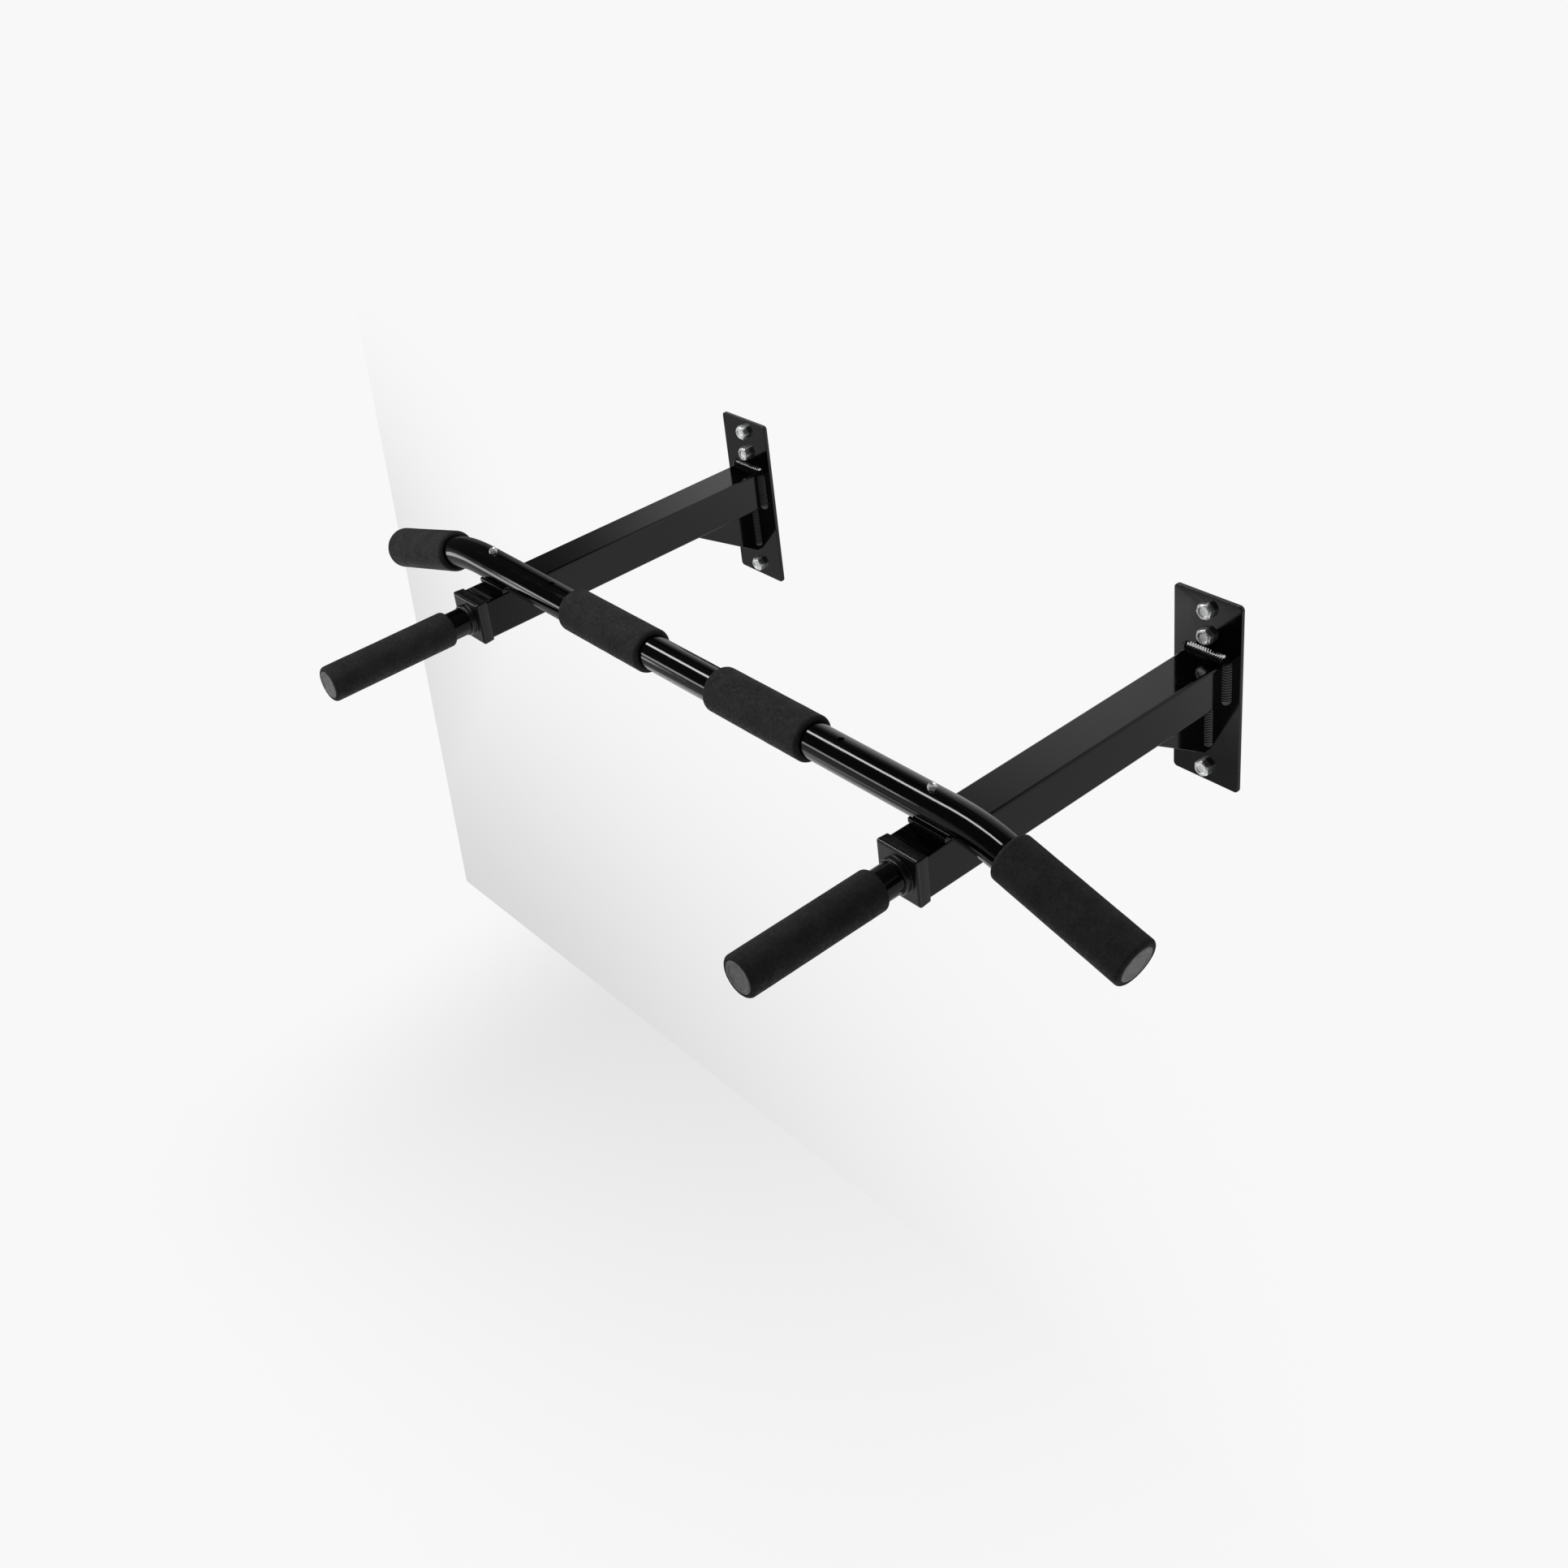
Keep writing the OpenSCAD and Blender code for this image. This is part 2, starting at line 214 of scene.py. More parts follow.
def black_foam():
    """Closed-cell foam rubber: matt, finely pitted and faintly clouded."""
    material, look, shader = new_material("black_foam")
    clouds = look.spread(look.noise(55, 6, 0.65), 0, 1)
    grain = look.spread(look.noise(900, 4, 0.7), 0, 1, 0.35, 0.65)
    tone = look.maths("ADD", look.maths("MULTIPLY", clouds, 0.6), look.maths("MULTIPLY", grain, 0.4))
    look.link(look.colour(tone, (0.014, 0.014, 0.014), (0.034, 0.034, 0.034)), shader.inputs["Base Color"])
    look.link(look.spread(look.noise(300, 3), 0.72, 0.95), shader.inputs["Roughness"])
    shader.inputs["Specular IOR Level"].default_value = 0.3
    pits = look.bump(shader, look.cells(900), 0.00025, 0.7)
    look.bump(shader, look.noise(180, 4, 0.6), 0.0004, 0.35, pits)
    return material


def grey_plastic():
    """Matt grey moulded plastic of the tube plugs, a little mottled."""
    material, look, shader = new_material("grey_plastic")
    mottle = look.spread(look.noise(210, 5, 0.65), 0, 1)
    look.link(look.colour(mottle, (0.175, 0.175, 0.175), (0.30, 0.30, 0.30)), shader.inputs["Base Color"])
    look.link(look.spread(look.noise(400, 3), 0.5, 0.7), shader.inputs["Roughness"])
    look.bump(shader, look.noise(1500, 4), 0.00006, 0.6)
    return material


def zinc_plated_steel():
    """Bright zinc plate, lightly clouded and scratched."""
    material, look, shader = new_material("zinc_plated_steel")
    clouds = look.spread(look.noise(420, 5, 0.6), 0, 1)
    look.link(look.colour(clouds, (0.76, 0.77, 0.78), (0.94, 0.95, 0.96)), shader.inputs["Base Color"])
    shader.inputs["Metallic"].default_value = 1.0
    look.link(look.spread(look.noise(900, 4), 0.32, 0.46), shader.inputs["Roughness"])
    look.bump(shader, look.noise(2600, 3, 0.6, (1, 1, 0.3)), 0.00002, 0.6)
    return material


MATERIALS = {
    "gloss_black_paint": gloss_black_paint(),
    "black_plastic": black_plastic(),
    "black_foam": black_foam(),
    "grey_plastic": grey_plastic(),
    "zinc_plated_steel": zinc_plated_steel(),
}


# ---- Shape helpers ----

def even_angles(count):
    return [2 * math.pi * i / count for i in range(count)]


def corner_angles(count, extra=7, reach=math.radians(4)):
    """Even angles, with extra ones close to the four corners of a square."""
    angles = set(even_angles(count))
    for corner in range(4):
        middle = math.pi / 4 + corner * math.pi / 2
        angles |= {middle + reach * (2 * k / (extra - 1) - 1) for k in range(extra)}
    return sorted(round(angle, 9) for angle in angles)


def square_radius(half, corner_r, angle):
    """Distance from the centre to a rounded square's edge, in that direction."""
    folded = abs((angle + math.pi / 4) % (math.pi / 2) - math.pi / 4)
    flat = half / math.cos(folded)
    core = half - corner_r
    if flat * math.sin(folded) <= core:
        return flat
    spread = math.cos(folded) + math.sin(folded)
    return core * spread + math.sqrt(max(corner_r**2 - core**2 * (2 - spread**2), 0))


def hexagon_radius(flats, angle):
    """Distance from the centre to the edge of a hexagon of that width across its flats."""
    folded = (angle + math.pi / 6) % (math.pi / 3) - math.pi / 6
    return flats / 2 / math.cos(folded)


def rounded(corners, closed=False, steps=4):
    """Points along an outline through (across, along, radius) corners, each an arc of its radius."""
    outline = []
    for i, (across, along, radius) in enumerate(corners):
        here = Vector((across, along))
        if radius == 0 or (not closed and i in (0, len(corners) - 1)):
            outline.append(here)
            continue
        back = (Vector(corners[i - 1][:2]) - here).normalized()
        on = (Vector(corners[(i + 1) % len(corners)][:2]) - here).normalized()
        half = back.angle(on) / 2
        centre = here + (back + on).normalized() * radius / math.sin(half)
        start, end = (here + way * radius / math.tan(half) - centre for way in (back, on))
        for k in range(steps + 1):
            outline.append(centre + start.lerp(end, k / steps).normalized() * radius)
    return outline


def refined(outline, step, closed=False):
    """The same outline with points no farther apart than step."""
    fine = []
    ends = outline[1:] + outline[:1] if closed else outline[1:]
    for start, end in zip(outline, ends):
        pieces = max(1, math.ceil((end - start).length / step))
        fine += [start.lerp(end, k / pieces) for k in range(pieces)]
    return fine if closed else fine + outline[-1:]


def turned(outline, angles=None, reach=None):
    """Rings about the Z axis, one for each (across, along) point of an outline.
    reach(across, angle, along) may reshape them."""
    angles = angles or even_angles(96)
    rings = []
    for across, along in outline:
        distances = [reach(across, angle, along) if reach else across for angle in angles]
        rings.append([Vector((d * math.cos(a), d * math.sin(a), along)) for d, a in zip(distances, angles)])
    return rings


def lofted(rings, place, closed=False):
    """Vertices and faces of a skin over the rings; a closed skin joins its last ring to its first."""
    count = len(rings[0])
    vertices = [place @ (point * MM) for ring in rings for point in ring]
    faces = []
    for r in range(len(rings) if closed else len(rings) - 1):
        here, there = r * count, (r + 1) % len(rings) * count
        for i in range(count):
            j = (i + 1) % count
            faces.append((here + i, here + j, there + j, there + i))
    if not closed:
        faces.append(tuple(reversed(range(count))))
        faces.append(tuple(range((len(rings) - 1) * count, len(rings) * count)))
    return vertices, faces


def facing(origin, forward):
    """The placement that puts local +Z along forward, at an origin in metres."""
    forward = Vector(forward).normalized()
    side = Vector((0, 0, 1)).cross(forward)
    side = Vector((1, 0, 0)) if side.length < 0.01 else side.normalized()
    turn = Matrix((side, forward.cross(side), forward)).transposed()
    return Matrix.Translation(origin) @ turn.to_4x4()


def middle(node):
    """The centre of a CAD node's box, in metres."""
    low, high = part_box(node)
    return (Vector(low) + Vector(high)) / 2


def show(name, mesh, nodes):
    """Shows a mesh in place of CAD nodes, in the finish of the first one's slot."""
    piece = bpy.data.objects.new(name, mesh)
    bpy.context.scene.collection.objects.link(piece)
    slot = SLOTS[nodes[0]]
    mesh.materials.clear()
    mesh.materials.append(MATERIALS[slot])
    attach(piece, "root")
    for node in nodes:
        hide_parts(node)
    return piece


def build(name, parts, node, sharp=38):
    """One piece from several skins; edges that turn by more than sharp degrees stay crisp."""
    vertices, faces = [], []
    for part_vertices, part_faces in parts:
        faces += [tuple(len(vertices) + i for i in face) for face in part_faces]
        vertices += part_vertices
    mesh = bpy.data.meshes.new(name)
    mesh.from_pydata(vertices, [], faces)
    shape = bmesh.new()
    shape.from_mesh(mesh)
    bmesh.ops.recalc_face_normals(shape, faces=shape.faces)
    shape.to_mesh(mesh)
    shape.free()
    mesh.shade_smooth()
    mesh.set_sharp_from_angle(angle=math.radians(sharp))
    return show(name, mesh, [node])


def softened(name, node, radius):
    """A CAD node's own shape with its sharp edges rounded by a small radius in millimetres."""
    mesh = frame["nodes"][node].data.copy()
    mesh.name = name
    shape = bmesh.new()
    shape.from_mesh(mesh)
    bmesh.ops.remove_doubles(shape, verts=shape.verts, dist=0.002 * MM)
    bmesh.ops.dissolve_limit(shape, angle_limit=math.radians(0.5), verts=shape.verts, edges=shape.edges)
    edges = [e for e in shape.edges if e.is_manifold and e.calc_face_angle() > math.radians(30)]
    bmesh.ops.bevel(
        shape, geom=edges, offset=radius * MM, offset_type="OFFSET", segments=3, profile=0.5, affect="EDGES",
    )
    bmesh.ops.triangulate(shape, faces=shape.faces)
    shape.to_mesh(mesh)
    shape.free()
    mesh.shade_smooth()
    piece = show(name, mesh, [node])
    piece.modifiers.new("even_shading", "WEIGHTED_NORMAL").weight = 80
    return piece


# ---- Foam grips ----

BAR_R = 16
# The bar's ends fall that much over that run
BAR_END_FALL = 7
BAR_END_RUN = 24
HANDLE_R = 14
BAR_FOAM_T = 5
HANDLE_FOAM_T = 4
INNER_GRIP_L = 121
END_GRIP_L = 124
HANDLE_GRIP_L = 135
FOAM_RIM_R = 3.5
FOAM_BORE_RIM_R = 0.4
# Depth of the dents and waves in the foam's skin, and their spread along it
FOAM_DENT = 0.35
FOAM_WAVE_L = 14
FOAM_DENT_L = 3.1
# Longest step along the foam's outline, and how near its bore the skin is left smooth
FOAM_STEP = 1.6
FOAM_SMOOTH = 0.5


def foam_grip(name, node, centre, axis, length, bore_r, outer_r):
    """Foam sleeve with rounded rims and a slightly uneven skin, which never swells past its true size."""
    half = length / 2
    corners = [
        (bore_r, -half, FOAM_BORE_RIM_R), (outer_r, -half, FOAM_RIM_R),
        (outer_r, half, FOAM_RIM_R), (bore_r, half, FOAM_BORE_RIM_R),
    ]
    outline = refined(rounded(corners, closed=True, steps=6), FOAM_STEP, closed=True)

    def reach(across, angle, along):
        if across < bore_r + FOAM_SMOOTH:
            return across
        spot = Vector((math.cos(angle) * outer_r, math.sin(angle) * outer_r, along))
        wave = 0.5 + 0.5 * noise.noise(spot / FOAM_WAVE_L)
        dent = max(0, noise.noise(spot / FOAM_DENT_L)) ** 2
        return across - FOAM_DENT * (0.5 * wave + 0.6 * dent)

    rings = turned(outline, even_angles(112), reach)
    grip = build(name, [lofted(rings, facing(centre, axis), closed=True)], node)


def bar_end_axis(side):
    """Direction in which the bar's end points outward, down its slope."""
    return Vector((side * BAR_END_RUN, 0, -BAR_END_FALL)).normalized()


def all_foam():
    """The six grips: two inner ones and one at each end of the bar, and one on each handle."""
    bore, outer = BAR_R + BORE_GAP, BAR_R + BAR_FOAM_T
    handle_bore, handle_outer = HANDLE_R + BORE_GAP, HANDLE_R + HANDLE_FOAM_T
    for name, side in SIDES.items():
        inner, end, handle = f"inner_grip_{name}", f"end_grip_{name}", f"handle_grip_{name}"
        foam_grip(f"foam_{inner}", inner, middle(inner), (1, 0, 0), INNER_GRIP_L, bore, outer)
        foam_grip(f"foam_{end}", end, middle(end), bar_end_axis(side), END_GRIP_L, bore, outer)
        foam_grip(
            f"foam_{handle}", handle, middle(handle), (0, -1, 0), HANDLE_GRIP_L, handle_bore, handle_outer,
        )


# ---- Plugs and end caps ----

# A plug's shank is thinner than its head by the tube's wall and a gap
PLUG_STEP = 2.05
PLUG_L = 18
PLUG_HEAD_T = 2
PLUG_DISH = 0.35
# Radius at which a plug's two end faces close
PLUG_CORE_R = 2


def tube_plug(name, node, face, axis, radius):
    """Plug whose head closes a tube flush with the foam: face is the middle of its outer side."""
    shank_r = radius - PLUG_STEP
    outline = rounded([
        (PLUG_CORE_R, -PLUG_L, 0), (shank_r, -PLUG_L, 1.2), (shank_r, -PLUG_HEAD_T, 0),
        (radius, -PLUG_HEAD_T, 0.2), (radius, 0, 0.8), (radius * 0.8, 0, 0.2),
        (radius * 0.76, -PLUG_DISH, 0.2), (PLUG_CORE_R, -PLUG_DISH, 0),
    ])
    build(name, [lofted(turned(outline), facing(face, axis))], node)


def all_plugs():
    """The plugs at the handles' front ends and the bar's two ends."""
    for name, side in SIDES.items():
        low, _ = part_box(f"handle_grip_{name}")
        handle = middle(f"handle_plug_{name}")
        handle.y = low[1]
        tube_plug(f"plug_handle_{name}", f"handle_plug_{name}", handle, (0, -1, 0), HANDLE_R)
        axis = bar_end_axis(side)
        face = middle(f"end_grip_{name}") + axis * END_GRIP_L / 2 * MM
        tube_plug(f"plug_bar_{name}", f"bar_plug_{name}", face, axis, BAR_R)


CAP_HALF = 22.5
CAP_CORNER_R = 1.6
CAP_RIM_DEPTH = 12
CAP_BOSS_R = 16
CAP_BOSS_L = 6
CAP_SHANK_HALF = 18.3
# Half-width of the cap's rim at its back, where it is narrower than at its front
CAP_BACK_HALF = 21.7
# The smallest corner radius of the cap's square part
CAP_LEAST_R = 0.4


def end_cap(name):
    """Cap with softened edges: shank, square rim that flares forward, round boss and the handle's bore."""
    low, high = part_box(f"arm_end_cap_{name}")
    centre = middle(f"arm_end_cap_{name}")
    front = low[1] / MM + CAP_BOSS_L
    shank_l = high[1] / MM - front
    bore_r = HANDLE_R + BORE_GAP
    # Across is a half-width on the square part and a radius on the round one; along points forward
    square = rounded([
        (CAP_SHANK_HALF, -shank_l, 0), (CAP_SHANK_HALF, -CAP_RIM_DEPTH, 0.2),
        (CAP_BACK_HALF, -CAP_RIM_DEPTH, 0.7), (CAP_HALF, 0, 2.3), (CAP_BOSS_R + 4, 0, 0),
    ])
    boss = rounded([
        (CAP_BOSS_R + 1.2, 0, 0), (CAP_BOSS_R, 0, 0.6), (CAP_BOSS_R, CAP_BOSS_L, 1.7),
        (bore_r, CAP_BOSS_L, 0.3), (bore_r, -shank_l, 0),
    ])

    def square_reach(across, angle, along):
        return square_radius(across, max(CAP_CORNER_R + across - CAP_HALF, CAP_LEAST_R), angle)

    angles = corner_angles(96)
    rings = turned(square, angles, square_reach) + turned(boss, angles)
    place = facing(Vector((centre.x, front * MM, centre.z)), (0, -1, 0))
    build(f"cap_{name}", [lofted(rings, place, closed=True)], f"arm_end_cap_{name}", sharp=50)


# ---- Welds ----

ARM_HALF = 20.5
ARM_CORNER_R = 2.5
ARM_WELD_LEG = 6
GUSSET_WELD_LEG = 5
RIPPLE_PITCH = 2.6
# How far a bead's hidden edge reaches into the corner
WELD_ROOT = 0.25
# Steps across a bead's face, and around a corner of the arm
BEAD_STEPS = 8
CORNER_STEPS = 12
# Where each kind of bead starts in the noise that makes it wander
ARM_BEAD_SEED = 3
PLATE_LEG_SEED = 11
ARM_LEG_SEED = 17


def bead(path, leg, along, seed):
    """Weld bead in an inside corner. path gives (root, outward) pairs, where outward is the direction
    of one leg, and along is the other leg's direction."""
    distances = [0]
    for (before, _), (here, _) in zip(path, path[1:]):
        distances.append(distances[-1] + (here - before).length)
    length = distances[-1]
    rings = []
    for (root, outward), s in zip(path, distances):
        end_taper = math.sqrt(max(0.04, min(1, s / leg, (length - s) / leg)))
        wander = 0.5 + 0.5 * noise.noise(Vector((s / 9, seed, 0)))
        ring = [root - WELD_ROOT * outward - WELD_ROOT * along]
        for k in range(BEAD_STEPS + 1):
            turn = k / BEAD_STEPS * math.pi / 2
            crescent = s + 1.1 * math.sin(2 * turn) + 0.5 * wander
            ripple = abs(math.sin(math.pi * crescent / RIPPLE_PITCH)) ** 0.7
            # A flat fillet's face, blended with a round one
            flat = 1 / (math.cos(turn) + math.sin(turn))
            size = leg * end_taper * (0.78 * flat + 0.12 + 0.06 * ripple + 0.04 * wander)
            ring.append(root + size * (math.cos(turn) * outward + math.sin(turn) * along))
        rings.append(ring)
    return lofted(rings, Matrix.Identity(4))


def sampled(start, end, outward, step=0.3):
    """Path points along a straight joint."""
    pieces = math.ceil((end - start).length / step)
    return [(start.lerp(end, k / pieces), outward) for k in range(pieces + 1)]


def arm_weld(name):
    """Bead over the arm's top and down both of its sides, where it meets the plate."""
    arm = middle(f"arm_tube_{name}") / MM
    root_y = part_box(f"arm_weld_{name}")[1][1] / MM
    core = ARM_HALF - ARM_CORNER_R

    def at(x, z):
        return Vector((arm.x + x, root_y, arm.z + z))

    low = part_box(f"arm_weld_{name}")[0][2] / MM - arm.z
    path = sampled(at(ARM_HALF, low), at(ARM_HALF, core), Vector((1, 0, 0)))
    for first, sign in ((0, 1), (math.pi / 2, -1)):
        for k in range(CORNER_STEPS + 1):
            turn = first + math.pi / 2 * k / CORNER_STEPS
            outward = Vector((math.cos(turn), 0, math.sin(turn)))
            path.append((at(sign * core, core) + ARM_CORNER_R * outward, outward))
        if sign == 1:
            path += sampled(at(core, ARM_HALF), at(-core, ARM_HALF), Vector((0, 0, 1)))
    path += sampled(at(-ARM_HALF, core), at(-ARM_HALF, low), Vector((-1, 0, 0)))
    steps = zip(path, path[1:])
    unique = path[:1] + [here for before, here in steps if (here[0] - before[0]).length > 0.05]
    parts = [bead(unique, ARM_WELD_LEG, Vector((0, -1, 0)), ARM_BEAD_SEED + SIDES[name])]
    build(f"weld_arm_{name}", parts, f"arm_weld_{name}", sharp=60)


def gusset_weld(name):
    """Four beads: down the plate and along the arm, on either side of the gusset."""
    low, high = (Vector(corner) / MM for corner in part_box(f"gusset_weld_{name}"))
    gusset_low, gusset_high = (Vector(corner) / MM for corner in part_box(f"gusset_{name}"))
    parts = []
    for side, x in ((-1, gusset_low.x), (1, gusset_high.x)):
        outward = Vector((side, 0, 0))
        corner = Vector((x, high.y, high.z))
        plate_leg = sampled(corner, Vector((x, high.y, low.z)), outward)
        arm_leg = sampled(corner, Vector((x, low.y, high.z)), outward)
        parts.append(bead(plate_leg, GUSSET_WELD_LEG, Vector((0, -1, 0)), PLATE_LEG_SEED + side))
        parts.append(bead(arm_leg, GUSSET_WELD_LEG, Vector((0, 0, -1)), ARM_LEG_SEED + side))
    build(f"weld_gusset_{name}", parts, f"gusset_weld_{name}", sharp=60)


# ---- Fasteners ----

PLATE_T = 4
LAG_AF = 14.3
LAG_HEAD_H = 6.4
LAG_NECK_R = 4.25
LAG_NECK_L = 4
LAG_R = 4.75
LAG_ROOT_R = 3.4
LAG_PITCH = 3.6
LAG_TIP_L = 10
LAG_NECK_INTO_THREAD = 0.6
# How the first screw's head is turned, and how much farther each next one is, in degrees
LAG_TURN = 24
LAG_TURN_STEP = 7
BOLT_AF = 8
BOLT_HEAD_H = 3.5
BOLT_R = 2.5
BOLT_ROOT_R = 2.1
BOLT_PITCH = 0.8
BOLT_THREAD_L = 22
# A plain shank reaches into the head and the thread, so that no gap shows
SHANK_INTO_HEAD = 0.5
BOLT_SHANK_INTO_THREAD = 1
WASHER_R = 5
WASHER_BORE_R = 2.8
WASHER_T = 1
NUT_COLLAR_H = 1.4
NUT_COLLAR_R = 3.5
# The collar's radius where it meets the hexagon
NUT_COLLAR_BASE_R = 3.7


def hex_head(flats, height, place):
    """Hexagonal head with a chamfered rim, a raised ring and a dished middle; its back ends on the shank."""
    limit = 0.965 * flats / 2 / math.cos(math.pi / 6)
    outline = rounded([
        (1, 0, 0), (flats, 0, 0), (flats, height - 0.9, 0.4), (0.44 * flats, height, 0.3),
        (0.36 * flats, height, 0.3), (0.26 * flats, height - 0.75, 0.5), (0.6, height - 0.85, 0),
    ], steps=3)

    def reach(across, angle, along):
        chamfer = limit - max(0, along - (height - 1.5)) * 0.75
        return min(across, hexagon_radius(flats, angle) - 0.08, chamfer)

    return lofted(turned(outline, even_angles(72), reach), place)


def threaded(root_r, crest_r, pitch, start, end, place, tip_l=0.0, flat=0.28):
    """Right-hand thread along -Z from start to end (both depths), ending in a tip of that length."""
    # As many rings in a pitch as points in a ring, so that the crest always runs from point to point
    count = 20
    rings = []
    for k in range(math.floor((end - start) / pitch * count) + 1):
        depth = start + pitch * k / count
        taper = min(1, max(0.12, (end - depth) / tip_l)) if tip_l else 1
        fade = min(1, (depth - start) / pitch + 0.02)
        ring = []
        for i, angle in enumerate(even_angles(count)):
            phase = (k - i) % count / count
            crest = min(1, max(0, 1 - abs(phase - 0.5) / flat) * 1.3)
            distance = taper * (root_r + (crest_r - root_r) * crest * fade)
            ring.append(Vector((distance * math.cos(angle), -distance * math.sin(angle), -depth)))
        rings.append(ring)
    return lofted(rings, place)


def shaft(radius, start, end, place):
    """Plain round shank along -Z, between two depths."""
    outline = [Vector((radius, -start)), Vector((radius, -end))]
    return lofted(turned(outline, even_angles(48)), place)


def ring_washer(outer_r, inner_r, thickness, place):
    """Stamped washer that stands on its origin, with rounded edges."""
    outline = rounded([
        (inner_r, 0, 0.15), (outer_r, 0, 0.3), (outer_r, thickness, 0.45), (inner_r, thickness, 0.25),
    ], closed=True, steps=3)
    return lofted(turned(outline, even_angles(64)), place, closed=True)


def lock_nut(height, place):
    """Nut with a round collar that holds its locking ring."""
    hexagon_h = height - NUT_COLLAR_H
    bore_r = BOLT_R + BORE_GAP
    outline = rounded([
        (bore_r, 0, 0.3), (BOLT_AF, 0, 0), (BOLT_AF, hexagon_h, 0),
        (NUT_COLLAR_BASE_R, hexagon_h + 0.3, 0.2), (NUT_COLLAR_R, height, 0.5), (bore_r, height, 0.3),
    ], closed=True, steps=3)
    limit = 0.97 * BOLT_AF / 2 / math.cos(math.pi / 6)

    def reach(across, angle, along):
        chamfer = limit - 0.6 * max(0, 0.8 - along) - 0.6 * max(0, along - hexagon_h + 0.8)
        return min(across, hexagon_radius(BOLT_AF, angle) - 0.06, chamfer)

    return lofted(turned(outline, even_angles(72), reach), place, closed=True)


def wall_screw_places():
    """Placements of the six lag screws on the plates' fronts, +Z away from the wall.
    They come from the record's mounts."""
    mounts = {mount["name"]: mount for mount in frame["record"]["mounts"]}
    outer, second = mounts["outer_wall_screws"], mounts["second_row_wall_screws"]
    half_x = outer["dims"]["spacing_x_mm"] / 2 * MM
    half_z = outer["dims"]["spacing_y_mm"] / 2 * MM
    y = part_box("wall_plate_left")[0][1]
    heights = (half_z, second["pos_m"][2], -half_z)
    return [facing(Vector((side * half_x, y, z)), (0, -1, 0)) for side in SIDES.values() for z in heights]


def lag_hardware():
    """Lag screws with coarse threads."""
    # From under the head, on the plate's front, to the tip in the wall
    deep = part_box("lag_screws")[1][1] / MM + PLATE_T
    screws = []
    for i, place in enumerate(wall_screw_places()):
        turn = Matrix.Rotation(math.radians(LAG_TURN + LAG_TURN_STEP * i), 4, "Z")
        screws.append(hex_head(LAG_AF, LAG_HEAD_H, place @ turn))
        screws.append(shaft(LAG_NECK_R, -SHANK_INTO_HEAD, LAG_NECK_L + LAG_NECK_INTO_THREAD, place))
        screws.append(
            threaded(LAG_ROOT_R, LAG_R, LAG_PITCH, LAG_NECK_L, deep, place @ turn, tip_l=LAG_TIP_L)
        )
    build("hex_lag_screws", screws, "lag_screws", sharp=32)


def bar_hardware():
    """Bolts down through the bar and the arms, with washers and locking nuts under the arms."""
    bolts, washers, nuts = [], [], []
    bolt_low, bolt_high = (Vector(corner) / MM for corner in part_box("bar_bolts"))
    washer_low, nut_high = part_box("bar_washers")[0][2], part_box("bar_nuts")[1][2]
    nut_h = (nut_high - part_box("bar_nuts")[0][2]) / MM
    under_head = bolt_high.z - BOLT_HEAD_H
    length = under_head - bolt_low.z
    plain_l = length - (BOLT_THREAD_L - BOLT_SHANK_INTO_THREAD)
    y = (bolt_low.y + bolt_high.y) / 2 * MM
    for name in SIDES:
        x = middle(f"arm_tube_{name}").x
        head = facing(Vector((x, y, under_head * MM)), (0, 0, 1))
        bolts.append(hex_head(BOLT_AF, BOLT_HEAD_H, head))
        bolts.append(shaft(BOLT_R, -SHANK_INTO_HEAD, plain_l, head))
        bolts.append(
            threaded(BOLT_ROOT_R, BOLT_R - 0.02, BOLT_PITCH, length - BOLT_THREAD_L, length, head, flat=0.5)
        )
        seat = facing(Vector((x, y, washer_low)), (0, 0, 1))
        washers.append(ring_washer(WASHER_R, WASHER_BORE_R, WASHER_T, seat))
        nuts.append(lock_nut(nut_h, facing(Vector((x, y, nut_high)), (0, 0, -1))))
    build("hex_bar_bolts", bolts, "bar_bolts", sharp=32)
    build("round_bar_washers", washers, "bar_washers")
    build("locking_bar_nuts", nuts, "bar_nuts", sharp=32)


# ---- Painted steel ----

PLATE_EDGE_R = 0.7
GUSSET_EDGE_R = 0.6
PAD_EDGE_R = 1.2


def steelwork():
    """The CAD's own tubes in their paint, and plates, gussets and pads with softened edges."""
    for node, cad in frame["nodes"].items():
        cad.data.materials.clear()
        cad.data.materials.append(MATERIALS[SLOTS[node]])
    for name in SIDES:
        softened(f"plate_{name}", f"wall_plate_{name}", PLATE_EDGE_R)
        softened(f"web_{name}", f"gusset_{name}", GUSSET_EDGE_R)
        softened(f"saddle_{name}", f"saddle_pad_{name}", PAD_EDGE_R)


# ---- Studio ----

# What the camera sees of wall, floor and background
PALE = (0.939, 0.939, 0.939)
SHADED = (0.66, 0.66, 0.66)
# Just behind the plates' backs, so that the two don't share a plane
WALL_Y = 0.0004
WALL_LEFT = -1.28
# How far the wall's left edge leans inward for each metre of height
WALL_LEAN = 0.086
FLOOR_Z = -1.05
# How far the wall and floor reach on their other sides
FAR = 6.0
# The middle of the bar's straight part, which the lamps face
LAMP_TARGET = Vector((0, -0.33, 0.057))
# Watts for each square metre of lamp at a radiance of 1
LAMP_POWER = 4
# What the object sees of the room below and above it
ROOM_BELOW = (0.38, 0.38, 0.38)
ROOM_ABOVE = (0.045, 0.045, 0.045)


